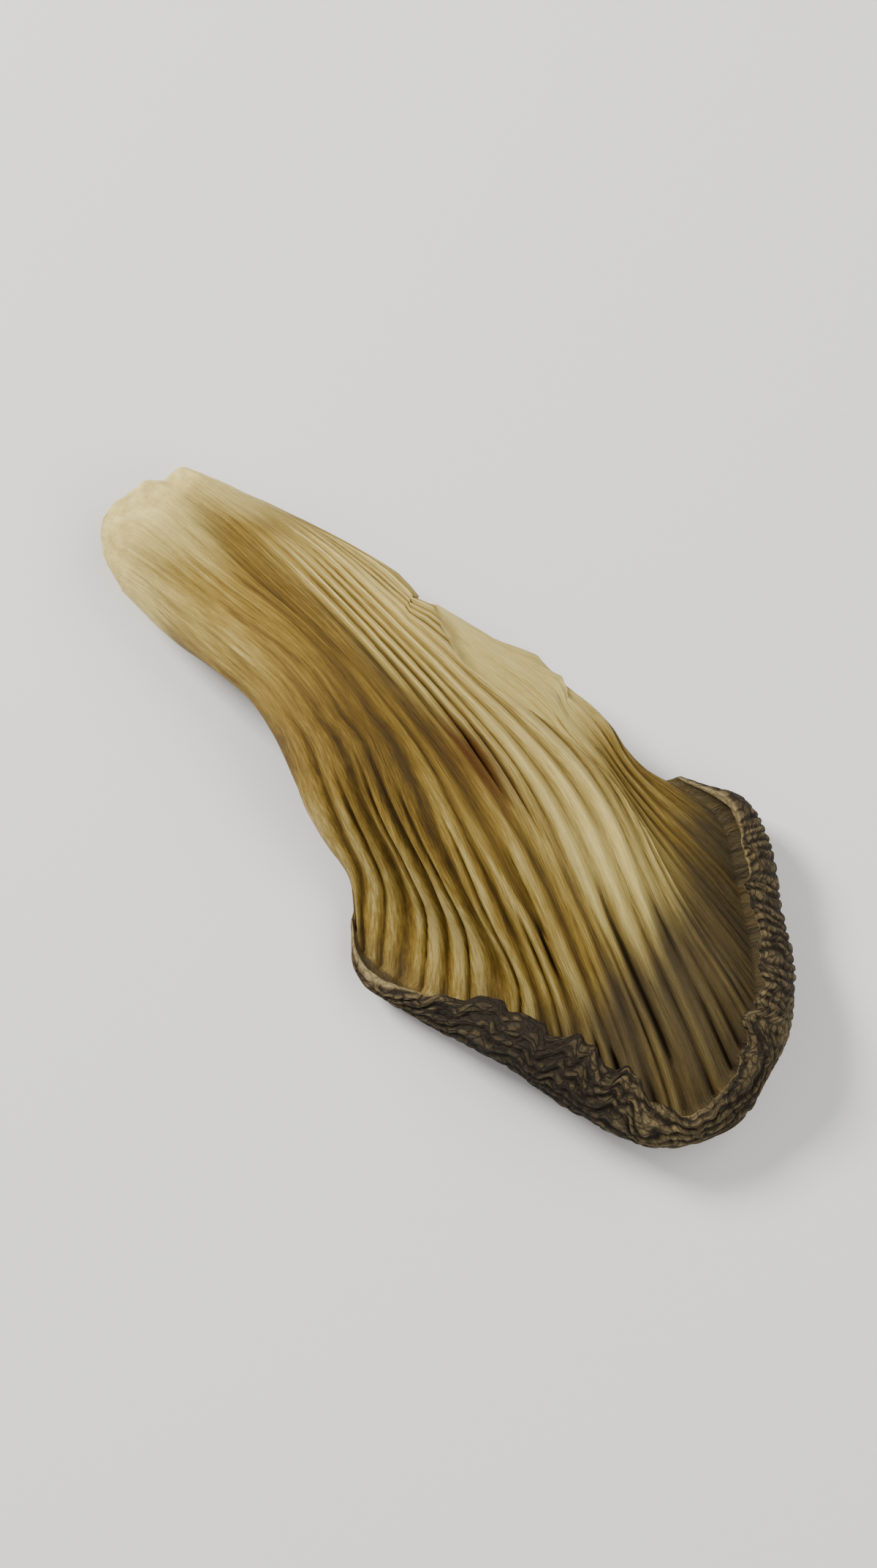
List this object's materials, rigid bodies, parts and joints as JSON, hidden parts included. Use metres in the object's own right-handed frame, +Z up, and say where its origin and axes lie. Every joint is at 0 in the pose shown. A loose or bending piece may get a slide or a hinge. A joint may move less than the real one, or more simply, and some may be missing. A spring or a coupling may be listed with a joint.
{
  "type": "dried oyster mushroom",
  "caption": "Dried fan-shaped oyster mushroom lying gills up, with ribbed gills running down a flattened stem and a cap margin rolled in over the gills.",
  "frame": {"origin": "under the middle of the mushroom's bounding box, on the surface that it lies on", "axes": "+X along the stem towards the front of the cap, +Y across it, +Z up out of the gills"},
  "size_m": [0.068, 0.0302, 0.0122],
  "materials": {
    "dried_flesh": "dry matt golden-brown gills, grey-brown wrinkled cap skin and a cream stem end"
  },
  "bodies": {
    "root": {"mushroom": "dried_flesh"}
  },
  "joints": []
}
